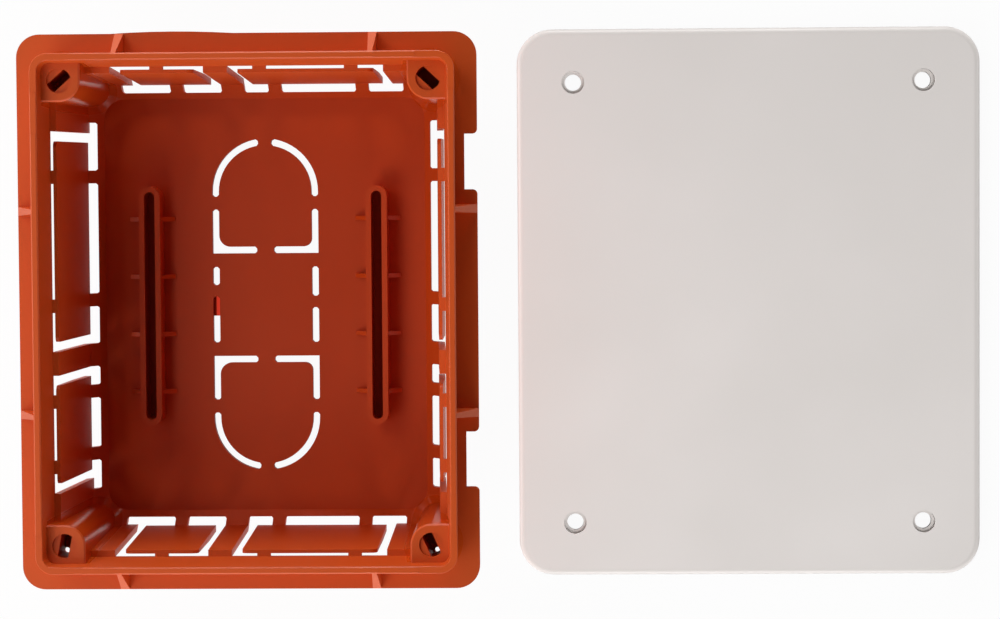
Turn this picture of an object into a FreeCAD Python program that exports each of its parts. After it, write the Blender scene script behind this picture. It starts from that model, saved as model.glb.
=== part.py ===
import FreeCAD, Part
import math
import os
from FreeCAD import Vector

# Flush junction box for a masonry wall: a one-piece moulded box and its screw-on cover.
# Millimetres. The box lies on its back with the open mouth up (+Z), and the origin is the
# middle of its back face. The cover lies face up beside it, at +X, as it is when taken off.

# Box, overall
RIM_WIDTH = 130.0
RIM_LENGTH = 160.0
DEPTH = 70.0
RIM_CORNER_R = 5.5
LEAST_CORNER_R = 1.0

# Wall, from the rim down: a leaning mouth, a ledge, the lower wall, a sloping foot, the floor
RIM_WALL = 2.2
RIM_CHAMFER = 0.4
MOUTH_DEPTH = 14.0
MOUTH_LEAN = 1.6
LEDGE_THICKNESS = 1.5
LOWER_WALL = 2.0
LOWER_LEAN = 2.4
FOOT_HEIGHT = 6.5
FOOT_RUN = 4.4
FOOT_WALL = 2.0
FLOOR = 2.5
FLOOR_CORNER_R = 6.5

# The rim's top steps down twice towards each corner, where the mould's inserts meet
RIM_STEPS = {12.0: 0.25, 24.6: 0.1}

# Flange round the mouth, level with the ledge inside, its two notches, the slight bow of its
# upper edge, and the gussets that stand on it
FLANGE_WIDTH = 6.35
FLANGE_THICKNESS = 2.0
FLANGE_CORNER_R = 7.2
NOTCH_DEPTH = 4.0
NOTCH_LENGTH = 17.2
NOTCH_SPACING = 92.3
NOTCH_CORNER_R = 1.5
BOW_HEIGHT = 0.6
BOW_LENGTH = 38.0
BOW_MIDDLE = -23.0
GUSSET_SPACING_X = 78.6
GUSSET_SPACING_Y = 63.2
GUSSET_TOP_DROP = 0.8
GUSSET_TOP_WIDTH = 1.4
GUSSET_FOOT_WIDTH = 2.7

# Knock-outs in the walls. Each is a thin leaf between a slot in the ledge and a slot in the foot.
LEDGE_SLOT = 0.95
FOOT_SLOT = 2.45
FOOT_SLOT_CORNER = 0.5
END_SLOT = 3.1
KNOCKOUT_GAP = 7.4
WEB_WIDTH = 4.2
LEAF_LEAN = 0.8
LEAF_CORNER_R = 2.0
FOOT_SLOT_OVERRUN = 3.4
LONG_WALL_SMALL = 36.8
LONG_WALL_SMALL_WEBS = 20.4
LONG_WALL_LARGE = 68.6
LONG_WALL_LARGE_WEBS = 40.1
SHORT_WALL_SMALL = 29.1
SHORT_WALL_LARGE = 48.4
SHORT_WALL_LARGE_WEBS = 28.4

# Corner posts for the cover's screws
POST_INSET = 8.25
POST_R = 6.5
POST_FOOT_R = 7.0
POST_DROP = 5.0
POST_EDGE = 0.5
POST_WALL = 2.0
POCKET_DEPTH = 14.0
POCKET_WIDTH = 3.3
POCKET_FLOOR = 2.0
POST_RECESS_R = 3.8
POST_RECESS_DEPTH = 0.7
POCKET_ANGLES = {(-1, 1): 42.0, (1, 1): -43.0, (-1, -1): 79.0, (1, -1): 114.0}

# Small holes through the floors of the two lower posts' pockets, from each post's axis
LIGHT_HOLE_R = 0.9
LIGHT_HOLES = {(-1, -1): (-1.5, -2.9), (1, -1): (1.3, -3.2)}

# Two long slotted bosses on the floor, for a mounting rail
RAIL_SPACING = 73.8
RAIL_LENGTH = 77.7
RAIL_WIDTH = 6.9
RAIL_HEIGHT = 8.5
RAIL_WALL = 1.75
RAIL_POCKET_FLOOR = 1.0
RAIL_RIB_REACH = 3.9
RAIL_RIB_WIDTH = 1.35
RAIL_RIB_PITCH = 18.8
RAIL_RIB_COUNT = 4
RAIL_RIB_HEIGHT = 5.5
RAIL_RIB_TIP_HEIGHT = 0.8

# Knock-outs in the floor: a D at each end and a square between them
FLOOR_SLOT = 2.2
D_OUTER_R = 17.35
D_CENTRE = 37.0
D_FLAT = 16.8
D_CORNER_R = {-1: 3.7, 1: 2.6}
D_CROWN_WEB = 4.3
D_SIDE_WEB = 4.2
D_SIDE_WEB_AT = 33.3
D_FLAT_WEB = 5.5
SQUARE_HALF_LENGTH = 12.4
SQUARE_WEB = 3.7
SQUARE_WEB_AT = 4.6
SQUARE_WEB_AT_RIGHT = 0.9

# Thin film of plastic that stays in the left slot beside the square, below its web
FILM_LENGTH = 6.4
FILM_THICKNESS = 0.4

# Cover
COVER_OVERLAP_X = 10.0
COVER_OVERLAP_Y = 9.0
COVER_CORNER_R = 11.4
COVER_EDGE_R = 2.0
COVER_PLATE = 2.0
COVER_SKIRT_HEIGHT = 3.8
COVER_SKIRT_WALL = 2.0
COVER_RIB_HEIGHT = 6.0
COVER_RIB_WALL = 1.6
COVER_RIB_CLEARANCE = 0.5
COVER_BOSS_R = 5.6
COVER_BOSS_HEIGHT = 5.0
COVER_HOLE_R = 2.65
COVER_RECESS_R = 3.65
COVER_RECESS_DEPTH = 3.0
COVER_GAP = 11.3

# Worked out from the sizes above
HALF_X = RIM_WIDTH / 2
HALF_Y = RIM_LENGTH / 2
LEDGE_Z = DEPTH - MOUTH_DEPTH
LEDGE_UNDER_Z = LEDGE_Z - LEDGE_THICKNESS
FOOT_Z = FLOOR + FOOT_HEIGHT
MOUTH_FOOT_INSET = RIM_WALL + MOUTH_LEAN
LEDGE_INSET = MOUTH_FOOT_INSET + LOWER_WALL
FOOT_INSET = LEDGE_INSET + LOWER_LEAN
FLOOR_INSET = FOOT_INSET + FOOT_RUN
FLANGE_TOP_Z = LEDGE_Z
POST_X = HALF_X - POST_INSET
POST_Y = HALF_Y - POST_INSET
POST_TOP_Z = DEPTH - POST_DROP
HOLLOW_TOP_Z = POST_TOP_Z - POCKET_DEPTH - POCKET_FLOOR
CORNERS = [(1, 1), (-1, 1), (-1, -1), (1, -1)]
WALLS = {"right": (1, 0), "left": (-1, 0), "top": (0, 1), "bottom": (0, -1)}
OVER = 1.0


def block(x0, x1, y0, y1, z0, z1):
    """Box between two corners."""
    return Part.makeBox(x1 - x0, y1 - y0, z1 - z0, Vector(x0, y0, z0))


def rod(radius, x, y, z0, z1):
    """Upright cylinder."""
    return Part.makeCylinder(radius, z1 - z0, Vector(x, y, z0))


def outline(half_x, half_y, corner, z):
    """Rounded rectangle about the origin, as a closed wire."""
    arcs = []
    for turn, (side_x, side_y) in enumerate(CORNERS):
        centre = Vector(side_x * (half_x - corner), side_y * (half_y - corner), z)
        points = []
        for step in (0, 45, 90):
            angle = math.radians(90 * turn + step)
            points.append(centre + Vector(math.cos(angle), math.sin(angle), 0) * corner)
        arcs.append(points)
    edges = []
    for points, following in zip(arcs, arcs[1:] + arcs[:1]):
        edges.append(Part.Arc(*points).toShape())
        edges.append(Part.LineSegment(points[2], following[0]).toShape())
    return Part.Wire(edges)


def rim_outline(inset, z, corner=None):
    """The rim's outer outline drawn in by an inset, with its corners drawn in too or given."""
    corner = corner or max(RIM_CORNER_R - inset, LEAST_CORNER_R)
    return outline(HALF_X - inset, HALF_Y - inset, corner, z)


def band(inset_low, z_low, inset_high, z_high, corner_low=None):
    """Solid between the rim's outline at two heights, each with its own inset."""
    wires = [rim_outline(inset_low, z_low, corner_low), rim_outline(inset_high, z_high)]
    return Part.makeLoft(wires, True, True)


def plate(half_x, half_y, corner, z0, z1):
    """Flat slab with rounded corners."""
    return Part.Face(outline(half_x, half_y, corner, z0)).extrude(Vector(0, 0, z1 - z0))


def nib(half_width, x, y, z0, z1, lean=0.0):
    """Upright eight-sided prism, the blunt end of a narrow slot that runs at a lean to the Y axis."""
    reach = half_width / math.cos(math.radians(22.5))
    points = []
    for number in range(8):
        angle = math.radians(22.5 + 45 * number) + lean
        points.append(Vector(x + reach * math.cos(angle), y + reach * math.sin(angle), z0))
    return Part.Face(Part.makePolygon(points + points[:1])).extrude(Vector(0, 0, z1 - z0))


def stadium(x, y, half_width, half_length, z0, z1):
    """Upright slab with round ends, long along Y."""
    reach = half_length - half_width
    body = block(x - half_width, x + half_width, y - reach, y + reach, z0, z1)
    return body.fuse([rod(half_width, x, y - reach, z0, z1), rod(half_width, x, y + reach, z0, z1)])


def on_wall(wall, along, inset, z):
    """Point given by its place along a wall, its inset from the rim's outer face and its height."""
    side_x, side_y = WALLS[wall]
    if side_x:
        return Vector(side_x * (HALF_X - inset), along, z)
    return Vector(along, side_y * (HALF_Y - inset), z)


def wall_prism(wall, section, start, end):
    """Section of (inset, z) points, run along a wall."""
    points = [on_wall(wall, start, inset, z) for inset, z in section]
    run = on_wall(wall, end, 0, 0) - on_wall(wall, start, 0, 0)
    return Part.Face(Part.makePolygon(points + points[:1])).extrude(run)


def foot_outer_inset(z):
    """Inset of the foot's outer face, parallel to its inner face."""
    lean = FOOT_RUN / FOOT_HEIGHT
    return FOOT_INSET + (FOOT_Z - z) * lean - FOOT_WALL * math.hypot(1, lean)


def outer_bands():
    """The solid shape of the box's outside below the rim's edge: mouth, lower wall and foot."""
    lower_outer_foot = FOOT_INSET - LOWER_WALL
    foot_lean = FOOT_RUN / FOOT_HEIGHT
    foot_top_z = (foot_outer_inset(0) - lower_outer_foot) / foot_lean
    return [
        band(MOUTH_LEAN, LEDGE_UNDER_Z, 0, DEPTH - RIM_CHAMFER),
        band(lower_outer_foot, foot_top_z, MOUTH_FOOT_INSET, LEDGE_UNDER_Z),
        band(foot_outer_inset(0), 0, lower_outer_foot, foot_top_z, FLOOR_CORNER_R),
    ]


def shell():
    """Walls, ledge, foot, floor and flange, before anything is cut through them."""
    edge_z = DEPTH - RIM_CHAMFER
    outside = flange().fuse(outer_bands() + [band(0, edge_z, RIM_CHAMFER, DEPTH)])
    inside = band(MOUTH_FOOT_INSET, LEDGE_Z, RIM_WALL, edge_z).fuse([
        band(RIM_WALL, edge_z, RIM_WALL - RIM_CHAMFER, DEPTH),
        band(FOOT_INSET, FOOT_Z, LEDGE_INSET, LEDGE_Z),
        band(FLOOR_INSET, FLOOR, FOOT_INSET, FOOT_Z, FLOOR_CORNER_R),
    ])
    return outside.cut(inside)


def flange():
    """Flat flange below the rim, with two notches in its right edge for joining boxes."""
    half_x = HALF_X + FLANGE_WIDTH
    half_y = HALF_Y + FLANGE_WIDTH
    low_z = FLANGE_TOP_Z - FLANGE_THICKNESS
    slab = plate(half_x, half_y, FLANGE_CORNER_R, low_z, FLANGE_TOP_Z).fuse(flange_bow(half_y, low_z))
    for middle in (-NOTCH_SPACING / 2, NOTCH_SPACING / 2):
        y0 = middle - NOTCH_LENGTH / 2
        y1 = middle + NOTCH_LENGTH / 2
        slab = slab.cut(block(half_x - NOTCH_DEPTH, half_x + OVER, y0, y1, low_z - OVER, DEPTH))
        for y, outward in ((y0, -1), (y1, 1)):
            slab = slab.cut(notch_rounding(half_x, y, outward, low_z))
    return slab


def flange_bow(edge_y, low_z):
    """Shallow segment by which the flange's upper edge bows outwards."""
    start = Vector(BOW_MIDDLE - BOW_LENGTH / 2, edge_y, low_z)
    crown = Vector(BOW_MIDDLE, edge_y + BOW_HEIGHT, low_z)
    end = Vector(BOW_MIDDLE + BOW_LENGTH / 2, edge_y, low_z)
    inward = Vector(0, -FLANGE_WIDTH / 2, 0)
    edges = [Part.Arc(start, crown, end).toShape()]
    for first, second in ((end, end + inward), (end + inward, start + inward), (start + inward, start)):
        edges.append(Part.LineSegment(first, second).toShape())
    return Part.Face(Part.Wire(edges)).extrude(Vector(0, 0, FLANGE_THICKNESS))


def notch_rounding(edge_x, y, outward, low_z):
    """What is cut from a notch's outer corner to round it."""
    reach = y + outward * NOTCH_CORNER_R
    corner = block(edge_x - NOTCH_CORNER_R, edge_x + OVER, min(y, reach), max(y, reach), low_z - OVER, DEPTH)
    return corner.cut(rod(NOTCH_CORNER_R, edge_x - NOTCH_CORNER_R, reach, low_z - OVER, DEPTH))


def gusset(wall, along):
    """Three-cornered gusset from the rim down to the flange's edge, thicker at its foot."""
    foot = GUSSET_FOOT_WIDTH / 2
    top = GUSSET_TOP_WIDTH / 2
    top_z = DEPTH - GUSSET_TOP_DROP
    low_z = FLANGE_TOP_Z - FLANGE_THICKNESS / 2
    inner = RIM_WALL / 2
    corners = {}
    for side in (-1, 1):
        corners[side, "root"] = on_wall(wall, along + side * foot, inner, low_z)
        corners[side, "toe"] = on_wall(wall, along + side * foot, -FLANGE_WIDTH, low_z)
        corners[side, "lip"] = on_wall(wall, along + side * foot, -FLANGE_WIDTH, FLANGE_TOP_Z)
        corners[side, "head"] = on_wall(wall, along + side * top, 0, top_z)
        corners[side, "heel"] = on_wall(wall, along + side * top, inner, top_z)
    hull = []
    for side in (-1, 1):
        flank = [corners[side, name] for name in ("root", "toe", "lip")]
        hull.append(flank)
        hull.append([corners[side, name] for name in ("root", "lip", "head")])
        hull.append([corners[side, name] for name in ("root", "head", "heel")])
    for first, second in (("root", "toe"), ("toe", "lip"), ("lip", "head"), ("head", "heel"), ("heel", "root")):
        hull.append([corners[-1, first], corners[-1, second], corners[1, second], corners[1, first]])
    faces = [Part.Face(Part.makePolygon(points + points[:1])) for points in hull]
    return Part.Solid(Part.Shell(faces))


def gussets():
    """Two gussets on each side of the rim."""
    parts = []
    for side in (-1, 1):
        for wall in ("right", "left"):
            parts.append(gusset(wall, side * GUSSET_SPACING_Y / 2))
        for wall in ("top", "bottom"):
            parts.append(gusset(wall, side * GUSSET_SPACING_X / 2))
    return parts


def spans_between(start, end, webs):
    """What is left of a span once the webs are taken out."""
    spans = []
    for web in sorted(webs):
        spans.append((start, web - WEB_WIDTH / 2))
        start = web + WEB_WIDTH / 2
    return spans + [(start, end)]


def knockout(wall, start, end, webs, outer_end):
    """Slots that leave a thin leaf in a wall, held by webs in the ledge and in the foot.

    The foot's slot runs on a little past the knock-out's outer end.
    """
    leaf_top = MOUTH_FOOT_INSET + LEDGE_SLOT
    leaf_foot = leaf_top + LEAF_LEAN
    clear_inset = MOUTH_LEAN + (MOUTH_FOOT_INSET - MOUTH_LEAN) / 2
    behind_leaf = [(clear_inset, LEDGE_UNDER_Z), (leaf_top, LEDGE_UNDER_Z), (leaf_foot, FOOT_Z), (clear_inset, FOOT_Z)]
    ledge_slot = [(MOUTH_FOOT_INSET, LEDGE_UNDER_Z - OVER), (leaf_top, LEDGE_UNDER_Z - OVER),
                  (leaf_top, LEDGE_Z + OVER), (MOUTH_FOOT_INSET, LEDGE_Z + OVER)]
    through = [(clear_inset, FOOT_Z - OVER), (FOOT_INSET, FOOT_Z - OVER), (FOOT_INSET + OVER, FOOT_Z + OVER),
               (LEDGE_INSET + OVER, LEDGE_Z + OVER), (MOUTH_FOOT_INSET, LEDGE_Z + OVER),
               (MOUTH_FOOT_INSET, LEDGE_UNDER_Z), (clear_inset, LEDGE_UNDER_Z)]
    cuts = [wall_prism(wall, behind_leaf, start, end)]
    spans = spans_between(start, end, webs)
    for low, high in spans:
        cuts.append(wall_prism(wall, ledge_slot, low, high))
    for low, high in ((start, start + END_SLOT), (end - END_SLOT, end)):
        cuts.append(wall_prism(wall, through, low, high))
    for low, high in spans:
        cuts.append(wall_prism(wall, [(0, -OVER), (FOOT_INSET, -OVER), (FOOT_INSET, FOOT_Z), (0, FOOT_Z)], low, high))
        if low == outer_end:
            low -= FOOT_SLOT_OVERRUN
        if high == outer_end:
            high += FOOT_SLOT_OVERRUN
        cuts.append(foot_slot(wall, low, high))
    cuts += [leaf_rounding(wall, start + END_SLOT, 1), leaf_rounding(wall, end - END_SLOT, -1)]
    return cuts


def foot_slot(wall, low, high):
    """Slot down through the sloping foot, with its two inner corners taken off."""
    edge = FOOT_INSET + FOOT_SLOT
    corner = FOOT_SLOT_CORNER
    places = [(low, FOOT_INSET), (low, edge - corner), (low + corner, edge),
              (high - corner, edge), (high, edge - corner), (high, FOOT_INSET)]
    points = [on_wall(wall, along, inset, -OVER) for along, inset in places]
    return Part.Face(Part.makePolygon(points + points[:1])).extrude(Vector(0, 0, FOOT_Z + OVER))


def leaf_rounding(wall, edge, inward):
    """What is cut from a leaf's upper corner to round it."""
    middle = edge + inward * LEAF_CORNER_R
    low_z = LEDGE_Z - LEAF_CORNER_R
    section = [(MOUTH_FOOT_INSET, low_z), (LEDGE_INSET + OVER, low_z),
               (LEDGE_INSET + OVER, LEDGE_Z + OVER), (MOUTH_FOOT_INSET, LEDGE_Z + OVER)]
    corner = wall_prism(wall, section, min(edge, middle), max(edge, middle))
    side_x, side_y = WALLS[wall]
    start = on_wall(wall, middle, LEDGE_INSET + 2 * OVER, low_z)
    length = LOWER_WALL + 4 * OVER
    return corner.cut(Part.makeCylinder(LEAF_CORNER_R, length, start, Vector(side_x, side_y, 0)))


def wall_knockouts():
    """A small and a large knock-out in each wall, as a pair about the wall's middle."""
    cuts = []
    pairs = {
        ("right", "left"): (LONG_WALL_SMALL, [-LONG_WALL_SMALL_WEBS / 2, LONG_WALL_SMALL_WEBS / 2],
                            LONG_WALL_LARGE, [-LONG_WALL_LARGE_WEBS / 2, LONG_WALL_LARGE_WEBS / 2]),
        ("top", "bottom"): (SHORT_WALL_SMALL, [0],
                            SHORT_WALL_LARGE, [-SHORT_WALL_LARGE_WEBS / 2, SHORT_WALL_LARGE_WEBS / 2]),
    }
    for walls, (small, small_webs, large, large_webs) in pairs.items():
        start = -(small + KNOCKOUT_GAP + large) / 2
        middle = start + small / 2
        webs = [middle + web for web in small_webs]
        large_start = start + small + KNOCKOUT_GAP
        large_middle = large_start + large / 2
        more_webs = [large_middle + web for web in large_webs]
        for wall in walls:
            cuts += knockout(wall, start, start + small, webs, start)
            cuts += knockout(wall, large_start, large_start + large, more_webs, large_start + large)
    return cuts


def post_section(side_x, side_y, radius, z):
    """Outline of a post: flats that run out to both walls, and a round towards the box's middle."""
    far = POST_INSET + OVER
    slant = radius * math.sqrt(0.5)
    places = [(-radius, far), (-radius, 0), (-slant, -slant), (0, -radius), (far, -radius), (far, far)]
    points = [Vector(side_x * (POST_X + u), side_y * (POST_Y + v), z) for u, v in places]
    edges = [Part.Arc(*points[1:4]).toShape()]
    for first, second in ((points[3], points[4]), (points[4], points[5]), (points[5], points[0]),
                          (points[0], points[1])):
        edges.append(Part.LineSegment(first, second).toShape())
    return Part.Wire(edges)


def post(side_x, side_y):
    """Corner column for a cover screw, which fills the corner of the walls.

    Round the screw pocket it stands out of the lower walls, as far as the mouth's.
    """
    foot = post_section(side_x, side_y, POST_FOOT_R, 0)
    shoulder = post_section(side_x, side_y, POST_R, POST_TOP_Z - POST_EDGE)
    top = post_section(side_x, side_y, POST_R - POST_EDGE, POST_TOP_Z)
    column = Part.makeLoft([foot, shoulder], True, True).fuse(Part.makeLoft([shoulder, top], True, True))
    head = band(MOUTH_LEAN, HOLLOW_TOP_Z, MOUTH_LEAN, LEDGE_UNDER_Z)
    mouth, lower_wall, wall_foot = outer_bands()
    return column.common(mouth.fuse([head, lower_wall, wall_foot]))


def corner_hollow(side_x, side_y):
    """Open hollow behind a post, so that its column is no thicker than the walls."""
    x = side_x * POST_X
    y = side_y * POST_Y
    radius = POST_R - POST_WALL
    far = POST_INSET + FLANGE_WIDTH
    z = (-OVER, HOLLOW_TOP_Z)
    wide = block(*sorted((x - side_x * radius, x + side_x * far)), *sorted((y, y + side_y * far)), *z)
    tall = block(*sorted((x, x + side_x * far)), *sorted((y - side_y * radius, y + side_y * far)), *z)
    return rod(radius, x, y, *z).fuse([wide, tall])


def post_pocket(side_x, side_y):
    """Shallow round recess and the screw pocket across it, whose ends follow the recess."""
    x = side_x * POST_X
    y = side_y * POST_Y
    angle = POCKET_ANGLES[side_x, side_y]
    low_z = POST_TOP_Z - POCKET_DEPTH
    bar = block(x - POST_R, x + POST_R, y - POCKET_WIDTH / 2, y + POCKET_WIDTH / 2, low_z, DEPTH)
    bar.rotate(Vector(x, y, 0), Vector(0, 0, 1), angle)
    pocket = bar.common(rod(POST_RECESS_R, x, y, low_z, DEPTH))
    return pocket.fuse(rod(POST_RECESS_R, x, y, POST_TOP_Z - POST_RECESS_DEPTH, DEPTH))


def light_hole(side_x, side_y):
    """Small hole through the floor of a lower post's pocket."""
    across, along = LIGHT_HOLES[side_x, side_y]
    x = side_x * POST_X + across
    y = side_y * POST_Y + along
    return rod(LIGHT_HOLE_R, x, y, HOLLOW_TOP_Z - OVER, HOLLOW_TOP_Z + POCKET_FLOOR + OVER)


def rail_boss(x):
    """Long slotted boss on the floor with cross ribs on both sides."""
    top_z = FLOOR + RAIL_HEIGHT
    root_z = FLOOR / 2
    parts = [stadium(x, 0, RAIL_WIDTH / 2, RAIL_LENGTH / 2, root_z, top_z)]
    half = RAIL_WIDTH / 2
    for number in range(RAIL_RIB_COUNT):
        y = (number - (RAIL_RIB_COUNT - 1) / 2) * RAIL_RIB_PITCH
        tip = half + RAIL_RIB_REACH
        points = [Vector(x - tip, y, root_z), Vector(x + tip, y, root_z),
                  Vector(x + tip, y, FLOOR + RAIL_RIB_TIP_HEIGHT), Vector(x + half, y, FLOOR + RAIL_RIB_HEIGHT),
                  Vector(x - half, y, FLOOR + RAIL_RIB_HEIGHT), Vector(x - tip, y, FLOOR + RAIL_RIB_TIP_HEIGHT)]
        rib = Part.Face(Part.makePolygon(points + points[:1])).extrude(Vector(0, RAIL_RIB_WIDTH, 0))
        rib.translate(Vector(0, -RAIL_RIB_WIDTH / 2, 0))
        parts.append(rib)
    return parts


def rail_pocket(x):
    """Slot down into a rail boss, closed at the bottom."""
    half_width = RAIL_WIDTH / 2 - RAIL_WALL
    half_length = RAIL_LENGTH / 2 - RAIL_WALL
    return stadium(x, 0, half_width, half_length, RAIL_POCKET_FLOOR, DEPTH)


def d_slot():
    """Slot round the D knock-out in the floor, round end towards +Y, with its four webs left out.

    The knock-out's own corners are rounded, and each end of the slot at a web is blunt.
    """
    z0 = -OVER
    z1 = FLOOR + OVER
    radius = D_OUTER_R - FLOOR_SLOT
    low_y = D_FLAT + FLOOR_SLOT
    whole = block(-D_OUTER_R, D_OUTER_R, D_FLAT, D_CENTRE, z0, z1).fuse(rod(D_OUTER_R, 0, D_CENTRE, z0, z1))
    leaf = rod(radius, 0, D_CENTRE, z0, z1)
    for sign, corner in D_CORNER_R.items():
        inner = sign * (radius - corner)
        leaf = leaf.fuse([
            block(*sorted((0, sign * radius)), low_y + corner, D_CENTRE, z0, z1),
            block(*sorted((0, inner)), low_y, low_y + corner, z0, z1),
            rod(corner, inner, low_y + corner, z0, z1),
        ])
    ring = whole.cut(leaf)
    end = FLOOR_SLOT / 2
    middle = D_OUTER_R - end
    crown = D_CROWN_WEB / 2 + end
    flat = D_FLAT_WEB / 2 + end
    side = D_SIDE_WEB / 2 + end
    ring = ring.cut([
        block(-crown, crown, D_CENTRE, D_CENTRE + D_OUTER_R + OVER, z0, z1),
        block(-flat, flat, D_FLAT - OVER, D_CENTRE, z0, z1),
        block(-D_OUTER_R - OVER, D_OUTER_R + OVER, D_SIDE_WEB_AT - side, D_SIDE_WEB_AT + side, z0, z1),
    ])
    ends = []
    for sign in (-1, 1):
        rise = math.sqrt(middle ** 2 - crown ** 2)
        ends.append(nib(end, sign * crown, D_CENTRE + rise, z0, z1, -sign * math.atan2(crown, rise)))
        ends.append(nib(end, sign * flat, D_FLAT + end, z0, z1))
        ends += [nib(end, sign * middle, D_SIDE_WEB_AT + step, z0, z1) for step in (-side, side)]
    return ring.fuse(ends)


def blunt_slot(x, y0, y1):
    """Straight slot along Y through the floor, with blunt ends."""
    end = FLOOR_SLOT / 2
    run = block(x - end, x + end, y0 + end, y1 - end, -OVER, FLOOR + OVER)
    return run.fuse([nib(end, x, y, -OVER, FLOOR + OVER) for y in (y0 + end, y1 - end)])


def floor_knockouts():
    """Slots through the floor: a D at each end, and two broken straight slots between them."""
    slot = d_slot()
    cuts = [slot, slot.mirror(Vector(0, 0, 0), Vector(0, 1, 0))]
    for side, web_at in ((-1, SQUARE_WEB_AT), (1, SQUARE_WEB_AT_RIGHT)):
        x = side * (D_OUTER_R - FLOOR_SLOT / 2)
        for y0, y1 in ((-SQUARE_HALF_LENGTH, web_at - SQUARE_WEB / 2), (web_at + SQUARE_WEB / 2, SQUARE_HALF_LENGTH)):
            cuts.append(blunt_slot(x, y0, y1))
    return cuts


def slot_film():
    """Film left at the foot of the left slot beside the square, as wide as the slot."""
    y1 = SQUARE_WEB_AT - SQUARE_WEB / 2 + OVER
    y0 = y1 - OVER - FILM_LENGTH
    x0 = -D_OUTER_R - OVER / 2
    return block(x0, x0 + FLOOR_SLOT + OVER, y0, y1, 0, FILM_THICKNESS)


def rim_steps():
    """What is cut from the rim's top towards its four corners."""
    cuts = []
    for reach, depth in RIM_STEPS.items():
        for side_x, side_y in CORNERS:
            x = sorted((side_x * (HALF_X - reach), side_x * (HALF_X + OVER)))
            y = sorted((side_y * (HALF_Y - reach), side_y * (HALF_Y + OVER)))
            cuts.append(block(*x, *y, DEPTH - depth, DEPTH + OVER))
    return cuts


def box_body():
    """The whole moulded box."""
    body = shell().fuse(gussets() + [post(*corner) for corner in CORNERS])
    rails = []
    for x in (-RAIL_SPACING / 2, RAIL_SPACING / 2):
        rails += rail_boss(x)
    body = body.fuse(rails)
    cuts = wall_knockouts() + floor_knockouts() + rim_steps()
    cuts += [corner_hollow(*corner) for corner in CORNERS]
    cuts += [post_pocket(*corner) for corner in CORNERS]
    cuts += [light_hole(*corner) for corner in LIGHT_HOLES]
    cuts += [rail_pocket(x) for x in (-RAIL_SPACING / 2, RAIL_SPACING / 2)]
    return body.cut(cuts).fuse(slot_film()).removeSplitter()


def cover():
    """Flat screw-on cover, face up: plate, skirt, locating rib and four screw bosses."""
    half_x = HALF_X + COVER_OVERLAP_X
    half_y = HALF_Y + COVER_OVERLAP_Y
    face_z = COVER_RIB_HEIGHT
    under_z = face_z - COVER_PLATE
    skirt_z = face_z - COVER_SKIRT_HEIGHT
    slab = plate(half_x, half_y, COVER_CORNER_R, skirt_z, face_z)
    rim = [edge for edge in slab.Edges if edge.BoundBox.ZMin > face_z - COVER_EDGE_R / 2]
    slab = slab.makeFillet(COVER_EDGE_R, rim)
    hollow = plate(half_x - COVER_SKIRT_WALL, half_y - COVER_SKIRT_WALL,
                   COVER_CORNER_R - COVER_SKIRT_WALL, skirt_z - OVER, under_z)
    slab = slab.cut(hollow)
    gap = RIM_WALL + COVER_RIB_CLEARANCE
    rib = band(gap, 0, gap, under_z + OVER / 2).cut(
        band(gap + COVER_RIB_WALL, -OVER, gap + COVER_RIB_WALL, face_z))
    slab = slab.fuse(rib)
    for side_x, side_y in CORNERS:
        x = side_x * POST_X
        y = side_y * POST_Y
        boss = rod(COVER_BOSS_R, x, y, face_z - COVER_BOSS_HEIGHT, under_z + OVER / 2)
        slab = slab.fuse(boss.common(plate(HALF_X - gap, HALF_Y - gap, RIM_CORNER_R, 0, face_z)))
    for side_x, side_y in CORNERS:
        x = side_x * POST_X
        y = side_y * POST_Y
        slab = slab.cut([rod(COVER_HOLE_R, x, y, -OVER, face_z + OVER),
                         rod(COVER_RECESS_R, x, y, face_z - COVER_RECESS_DEPTH, face_z + OVER)])
    slab = slab.removeSplitter()
    slab.translate(Vector(HALF_X + FLANGE_WIDTH + COVER_GAP + half_x, 0, 0))
    return slab


def main():
    """Build each piece and write it to its own file."""
    os.makedirs("parts", exist_ok=True)
    for name, shape in (("box_body", box_body()), ("cover", cover())):
        solids = shape.Solids
        print(name, "solids", len(solids), "valid", shape.isValid(), "volume", round(shape.Volume, 1))
        shape.exportStep("parts/" + name + ".step")


main()
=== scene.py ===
import math

import bpy
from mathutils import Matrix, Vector

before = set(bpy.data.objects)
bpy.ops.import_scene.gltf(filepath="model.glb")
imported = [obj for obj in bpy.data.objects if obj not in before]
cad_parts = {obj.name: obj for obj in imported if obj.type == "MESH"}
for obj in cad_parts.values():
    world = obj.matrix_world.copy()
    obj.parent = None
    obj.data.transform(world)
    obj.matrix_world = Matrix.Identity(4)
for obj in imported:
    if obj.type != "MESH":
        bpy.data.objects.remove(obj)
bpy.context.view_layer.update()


# The camera looks straight down into the open box from about a metre, a little to its
# right, with a long lens, and is turned by less than half a degree about its line of sight.
CAMERA_PLACE = Vector((0.1043, 0.0422, 1.0085))
CAMERA_AIM = Vector((0.0785, 0.0009, 0.0700))
CAMERA_ROLL = math.radians(-0.4)
SENSOR_WIDTH = 36.0
LENS = 110.9
NEAREST_SEEN = 0.01

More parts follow.
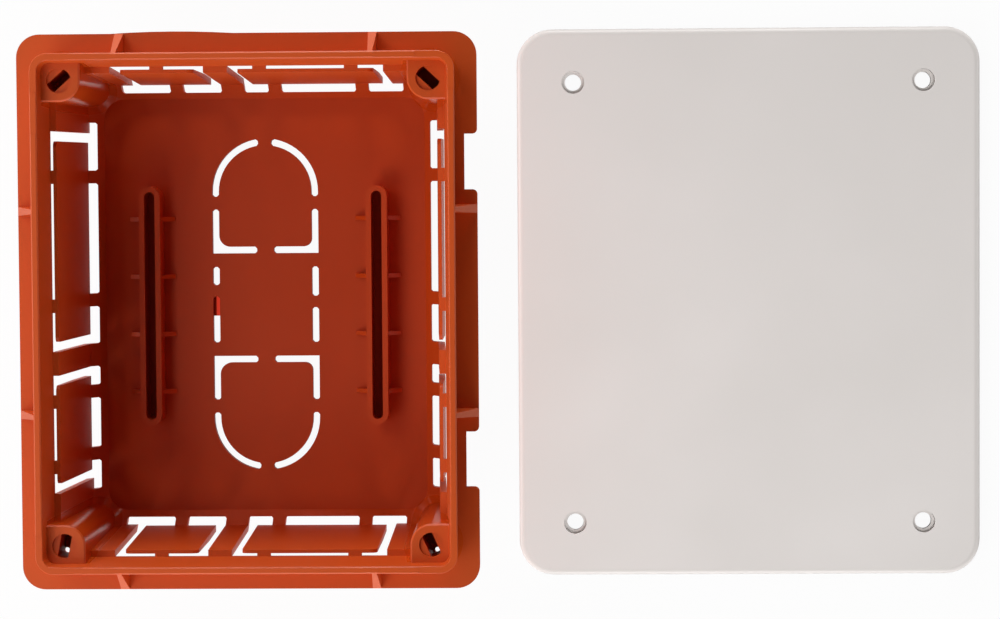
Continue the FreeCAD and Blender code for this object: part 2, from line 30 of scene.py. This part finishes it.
camera_data = bpy.data.cameras.new("camera")
camera_data.sensor_width = SENSOR_WIDTH
camera_data.lens = LENS
camera_data.clip_start = NEAREST_SEEN
camera = bpy.data.objects.new("camera", camera_data)
bpy.context.scene.collection.objects.link(camera)
camera.location = CAMERA_PLACE
view_line = (CAMERA_AIM - CAMERA_PLACE).normalized()
level_line = view_line.cross(Vector((0, 1, 0))).normalized()
upright_line = level_line.cross(view_line)
turn = camera.rotation_euler.to_matrix()
turn.col[0] = level_line * math.cos(CAMERA_ROLL) + upright_line * math.sin(CAMERA_ROLL)
turn.col[1] = upright_line * math.cos(CAMERA_ROLL) - level_line * math.sin(CAMERA_ROLL)
turn.col[2] = -view_line
camera.rotation_euler = turn.to_euler()
bpy.context.scene.camera = camera


# The box is moulded in one piece from terracotta-coloured polypropylene. The mould gives it
# a satin skin with broad soft highlights. Painted shade makes its colour darker and redder
# from the rim down to the floor, and the sides of its four posts are polished.
BOX_COLOUR = "#D35318"
BOX_FLOW_COLOUR = "#CD4F14"
# Painted shade: the darker, redder colour that the box is given near its floor.
BOX_PAINTED_SHADE_COLOUR = "#C7430B"
BOX_FLOW = 0.045
BOX_ROUGHNESS = 0.46

# The real grain of both pieces is finer than this, and is drawn this wide so that it shows.
BOX_GRAIN = 0.0008
BOX_GRAIN_DEPTH = 0.00002

# How fine and uneven the flow marks are, the range that their noise mostly keeps to, and
# how far they change the gloss.
FLOW_DETAIL = 3.0
FLOW_UNEVENNESS = 0.55
FLOW_LOW = 0.3
FLOW_HIGH = 0.7
FLOW_GLOSS = 0.04
GRAIN_DETAIL = 2.0
PLASTIC_IOR = 1.49
PLASTIC_SPECULAR = 0.38


def linear(colour):
    """Turn an sRGB hex value into linear red, green, blue and alpha."""
    values = []
    for start in (1, 3, 5):
        part = int(colour[start:start + 2], 16) / 255
        values.append(part / 12.92 if part <= 0.04045 else ((part + 0.055) / 1.055) ** 2.4)
    return (*values, 1.0)


def node(tree, kind, settings=None, inputs=None):
    """Add a node, with its settings, and its sockets set to values or linked to outputs."""
    made = tree.nodes.new(kind)
    for name, value in (settings or {}).items():
        setattr(made, name, value)
    for name, value in (inputs or {}).items():
        if isinstance(value, bpy.types.NodeSocket):
            tree.links.new(value, made.inputs[name])
        else:
            made.inputs[name].default_value = value
    return made


def moulded_plastic(name, colour, flow_colour, flow, grain, grain_depth, roughness, details=None):
    """Satin moulded plastic: slow flow marks in colour and gloss, and a fine skin grain."""
    material = bpy.data.materials.new(name)
    material.use_nodes = True
    tree = material.node_tree
    tree.nodes.clear()
    place = node(tree, "ShaderNodeTexCoord").outputs["Object"]
    marks = node(tree, "ShaderNodeTexNoise", {"noise_dimensions": "3D"},
                 {"Vector": place, "Scale": 1 / flow,
                  "Detail": FLOW_DETAIL, "Roughness": FLOW_UNEVENNESS}).outputs["Fac"]
    skin = node(tree, "ShaderNodeTexNoise", {"noise_dimensions": "3D"},
                {"Vector": place, "Scale": 1 / grain, "Detail": GRAIN_DETAIL}).outputs["Fac"]
    tint = node(tree, "ShaderNodeMix", {"data_type": "RGBA"},
                {"Factor": marks, "A": linear(colour), "B": linear(flow_colour)}).outputs["Result"]
    gloss = node(tree, "ShaderNodeMapRange", None,
                 {"Value": marks, "From Min": FLOW_LOW, "From Max": FLOW_HIGH,
                  "To Min": roughness - FLOW_GLOSS, "To Max": roughness + FLOW_GLOSS}).outputs["Result"]
    clear = 0.0
    if details:
        tint, gloss, clear = details(tree, place, tint, gloss)
    bump = node(tree, "ShaderNodeBump", None, {"Height": skin, "Strength": 1.0, "Distance": grain_depth})
    shader = node(tree, "ShaderNodeBsdfPrincipled", None,
                  {"Base Color": tint, "Roughness": gloss, "Transmission Weight": clear,
                   "Normal": bump.outputs["Normal"],
                   "IOR": PLASTIC_IOR, "Specular IOR Level": PLASTIC_SPECULAR})
    node(tree, "ShaderNodeOutputMaterial", None, {"Surface": shader.outputs["BSDF"]})
    return material


# Heights between which the painted shade near the floor gives way to the rim's own colour.
FULL_PAINTED_SHADE_HEIGHT = 0.0025
NO_PAINTED_SHADE_HEIGHT = 0.050

# Ring round each post's axis in which the post's polished side lies, up to its top.
POST_CENTRE = Vector((0.05675, 0.07175, 0))
POST_SIDE_REACH = 0.0070
POST_SIDE_BAND = 0.0022
POST_BAND_EDGE = 0.0008
POST_SIDE_TOP = 0.0644
POST_ROUGHNESS = 0.25

# The film left in one floor slot is so thin that light comes through it, deep red.
FILM_CENTRE = Vector((-0.0157, -0.00045, 0.0))
FILM_REACH = Vector((0.00085, 0.0032, 0.0006))
FILM_CLEARNESS = 0.9
FILM_COLOUR = "#E8361E"


def post_sides(tree, place, height):
    """Share that is 1 on the sides of the four corner posts and 0 elsewhere."""
    folded = node(tree, "ShaderNodeVectorMath", {"operation": "ABSOLUTE"}, {0: place})
    offset = node(tree, "ShaderNodeVectorMath", {"operation": "SUBTRACT"},
                  {0: folded.outputs[0], 1: POST_CENTRE})
    level = node(tree, "ShaderNodeVectorMath", {"operation": "MULTIPLY"},
                 {0: offset.outputs[0], 1: (1, 1, 0)})
    reach = node(tree, "ShaderNodeVectorMath", {"operation": "LENGTH"}, {0: level.outputs[0]})
    beyond = node(tree, "ShaderNodeMath", {"operation": "SUBTRACT"},
                  {0: reach.outputs["Value"], 1: POST_SIDE_REACH})
    astray = node(tree, "ShaderNodeMath", {"operation": "ABSOLUTE"}, {0: beyond.outputs[0]})
    near = node(tree, "ShaderNodeMapRange", {"interpolation_type": "SMOOTHSTEP"},
                {"Value": astray.outputs[0], "From Min": POST_SIDE_BAND + POST_BAND_EDGE,
                 "From Max": POST_SIDE_BAND})
    below = node(tree, "ShaderNodeMath", {"operation": "LESS_THAN"}, {0: height, 1: POST_SIDE_TOP})
    return node(tree, "ShaderNodeMath", {"operation": "MULTIPLY"},
                {0: near.outputs["Result"], 1: below.outputs[0]}).outputs[0]


def thin_film(tree, place):
    """Share of light let through: some inside the film's place and none elsewhere."""
    offset = node(tree, "ShaderNodeVectorMath", {"operation": "SUBTRACT"}, {0: place, 1: FILM_CENTRE})
    folded = node(tree, "ShaderNodeVectorMath", {"operation": "ABSOLUTE"}, {0: offset.outputs[0]})
    parts = node(tree, "ShaderNodeSeparateXYZ", None, {"Vector": folded.outputs[0]})
    share = FILM_CLEARNESS
    for axis, reach in zip("XYZ", FILM_REACH):
        within = node(tree, "ShaderNodeMath", {"operation": "LESS_THAN"}, {0: parts.outputs[axis], 1: reach})
        share = node(tree, "ShaderNodeMath", {"operation": "MULTIPLY"},
                     {0: within.outputs[0], 1: share}).outputs[0]
    return share


def box_details(tree, place, tint, gloss):
    """The box's painted shade towards its floor, its polished posts and its see-through film."""
    height = node(tree, "ShaderNodeSeparateXYZ", None, {"Vector": place}).outputs["Z"]
    depth = node(tree, "ShaderNodeMapRange", None,
                 {"Value": height, "From Min": NO_PAINTED_SHADE_HEIGHT, "From Max": FULL_PAINTED_SHADE_HEIGHT})
    clear = thin_film(tree, place)
    # Painted shade: the colour turns darker and redder from the rim down to the floor.
    painted_shade_tint = node(tree, "ShaderNodeMix", {"data_type": "RGBA"},
                    {"Factor": depth.outputs["Result"], "A": tint, "B": linear(BOX_PAINTED_SHADE_COLOUR)})
    filmed = node(tree, "ShaderNodeMix", {"data_type": "RGBA"},
                  {"Factor": clear, "A": painted_shade_tint.outputs["Result"], "B": linear(FILM_COLOUR)})
    polished = node(tree, "ShaderNodeMix", {"data_type": "FLOAT"},
                    {"Factor": post_sides(tree, place, height), "A": gloss, "B": POST_ROUGHNESS})
    return filmed.outputs["Result"], polished.outputs["Result"], clear


box_body = bpy.data.objects["box_body"]
box_plastic = moulded_plastic("satin_terracotta_polypropylene", BOX_COLOUR, BOX_FLOW_COLOUR,
                              BOX_FLOW, BOX_GRAIN, BOX_GRAIN_DEPTH, BOX_ROUGHNESS, box_details)
for slot in box_body.material_slots:
    slot.material = box_plastic


# The cover is moulded in one piece from off-white ABS. A fine even texture keeps its gloss
# low, so its face looks flat and plain, and the light shows only at its rounded edge.
COVER_COLOUR = "#DCD6D3"
COVER_FLOW_COLOUR = "#D9D4D0"
COVER_FLOW = 0.06
COVER_GRAIN = 0.0006
COVER_GRAIN_DEPTH = 0.00001
COVER_ROUGHNESS = 0.45

cover = bpy.data.objects["cover"]
cover_plastic = moulded_plastic("fine_textured_white_abs", COVER_COLOUR, COVER_FLOW_COLOUR,
                                COVER_FLOW, COVER_GRAIN, COVER_GRAIN_DEPTH, COVER_ROUGHNESS)
for slot in cover.material_slots:
    slot.material = cover_plastic


# Both pieces lie on a wide floor painted matt white, just below their undersides. It is
# white where it is seen, dimmer where it is mirrored, and keeps a faint shadow.
FLOOR_SIZE = 6.0
FLOOR_LEVEL = -0.0002
FLOOR_COLOUR = "#F2F2F2"
WHITE = "#FFFFFF"
FLOOR_GLOW = 0.95
MIRRORED_GLOW = 0.5

floor_mesh = bpy.data.meshes.new("floor")
half = FLOOR_SIZE / 2
corners = [(x, y, FLOOR_LEVEL) for x, y in ((-half, -half), (half, -half), (half, half), (-half, half))]
floor_mesh.from_pydata(corners, [], [(0, 1, 2, 3)])
floor = bpy.data.objects.new("floor", floor_mesh)
bpy.context.scene.collection.objects.link(floor)
floor_paint = bpy.data.materials.new("white_floor_paint")
floor_paint.use_nodes = True
tree = floor_paint.node_tree
tree.nodes.clear()
path = node(tree, "ShaderNodeLightPath")
mirrored = node(tree, "ShaderNodeMath", {"operation": "MULTIPLY"},
                {0: path.outputs["Is Glossy Ray"], 1: MIRRORED_GLOW})
seen = node(tree, "ShaderNodeMath", {"operation": "MAXIMUM"},
            {0: path.outputs["Is Camera Ray"], 1: path.outputs["Is Transmission Ray"]})
white = node(tree, "ShaderNodeMath", {"operation": "MULTIPLY"}, {0: seen.outputs[0], 1: FLOOR_GLOW})
share = node(tree, "ShaderNodeMath", {"operation": "MAXIMUM"}, {0: white.outputs[0], 1: mirrored.outputs[0]})
matt = node(tree, "ShaderNodeBsdfDiffuse", None, {"Color": linear(FLOOR_COLOUR)})
glow = node(tree, "ShaderNodeEmission", None, {"Color": linear(WHITE), "Strength": 1.0})
mix = node(tree, "ShaderNodeMixShader", None, {0: share.outputs[0], 1: matt.outputs[0], 2: glow.outputs[0]})
node(tree, "ShaderNodeOutputMaterial", None, {"Surface": mix.outputs[0]})
floor_mesh.materials.append(floor_paint)


# Soft studio light, as in a white tent with its top open for the camera, and stronger from
# the left. Low panels stand round the box, and larger ones higher at its left corners. The
# cover has five panels of its own: one high over its face and four low at its edges.
TENT_RADIUS = 1.3
BOX_AIM = Vector((0, 0, 0.05))
COVER_AIM = Vector((0.158, 0, 0))
PANEL_SIDE = 0.55
WIDE_SIDE = 0.75
WIDEST_SIDE = 0.8
EDGE_SIDE = 0.3


def tent_panel(name, heading, height_angle, side, watts, aim, lit, shading):
    """Square lamp on the tent's wall, which lights and is blocked by the given objects alone."""
    lamp_data = bpy.data.lights.new(name, "AREA")
    lamp_data.shape = "SQUARE"
    lamp_data.size = side
    lamp_data.energy = watts
    lamp = bpy.data.objects.new(name, lamp_data)
    bpy.context.scene.collection.objects.link(lamp)
    heading = math.radians(heading)
    height_angle = math.radians(height_angle)
    outward = Vector((math.cos(height_angle) * math.cos(heading),
                      math.cos(height_angle) * math.sin(heading), math.sin(height_angle)))
    lamp.location = aim + TENT_RADIUS * outward
    lamp.rotation_euler = outward.to_track_quat("Z", "Y").to_euler()
    receivers = bpy.data.collections.new("lit_by_" + name)
    for thing in lit:
        receivers.objects.link(thing)
    blockers = bpy.data.collections.new("shading_from_" + name)
    for thing in shading:
        blockers.objects.link(thing)
    lamp.light_linking.receiver_collection = receivers
    lamp.light_linking.blocker_collection = blockers


for name, heading, height_angle, side, watts in (
        ("high_left_panel", 180, 63, PANEL_SIDE, 0.9),
        ("high_front_left_panel", 225, 41, WIDEST_SIDE, 7.1),
        ("high_back_left_panel", 135, 41, WIDEST_SIDE, 4.4),
        ("low_left_panel", 180, 9, PANEL_SIDE, 4.1),
        ("low_back_left_panel", 135, 16, PANEL_SIDE, 1.5),
        ("low_back_panel", 90, 9, PANEL_SIDE, 11.4),
        ("low_front_panel", 270, 9, PANEL_SIDE, 4.0),
        ("front_panel", 270, 18, WIDE_SIDE, 5.7),
        ("low_front_right_panel", 315, 19, PANEL_SIDE, 2.1),
        ("low_right_panel", 0, 7, PANEL_SIDE, 1.7)):
    tent_panel(name, heading, height_angle, side, watts, BOX_AIM,
               [box_body, floor], [box_body, cover, floor])
for name, heading, height_angle, side, watts in (
        ("cover_high_panel", 262, 80, PANEL_SIDE, 10.4),
        ("cover_left_panel", 180, 8, EDGE_SIDE, 9.6),
        ("cover_back_panel", 90, 8, EDGE_SIDE, 11.0),
        ("cover_front_panel", 270, 8, EDGE_SIDE, 9.8),
        ("cover_right_panel", 0, 8, EDGE_SIDE, 3.5)):
    tent_panel(name, heading, height_angle, side, watts, COVER_AIM, [cover], [cover])


# The tent's walls: white where they are seen, and only a faint light on the pieces.
WALL_LIGHT = 0.03

world = bpy.data.worlds.new("studio")
world.use_nodes = True
tree = world.node_tree
tree.nodes.clear()
path = node(tree, "ShaderNodeLightPath")
faint = node(tree, "ShaderNodeBackground", None, {"Color": linear(WHITE), "Strength": WALL_LIGHT})
bright = node(tree, "ShaderNodeBackground", None, {"Color": linear(WHITE), "Strength": 1.0})
mix = node(tree, "ShaderNodeMixShader", None,
           {0: path.outputs["Is Camera Ray"], 1: faint.outputs[0], 2: bright.outputs[0]})
node(tree, "ShaderNodeOutputWorld", None, {"Surface": mix.outputs[0]})
bpy.context.scene.world = world
bpy.context.scene.view_settings.view_transform = "Standard"
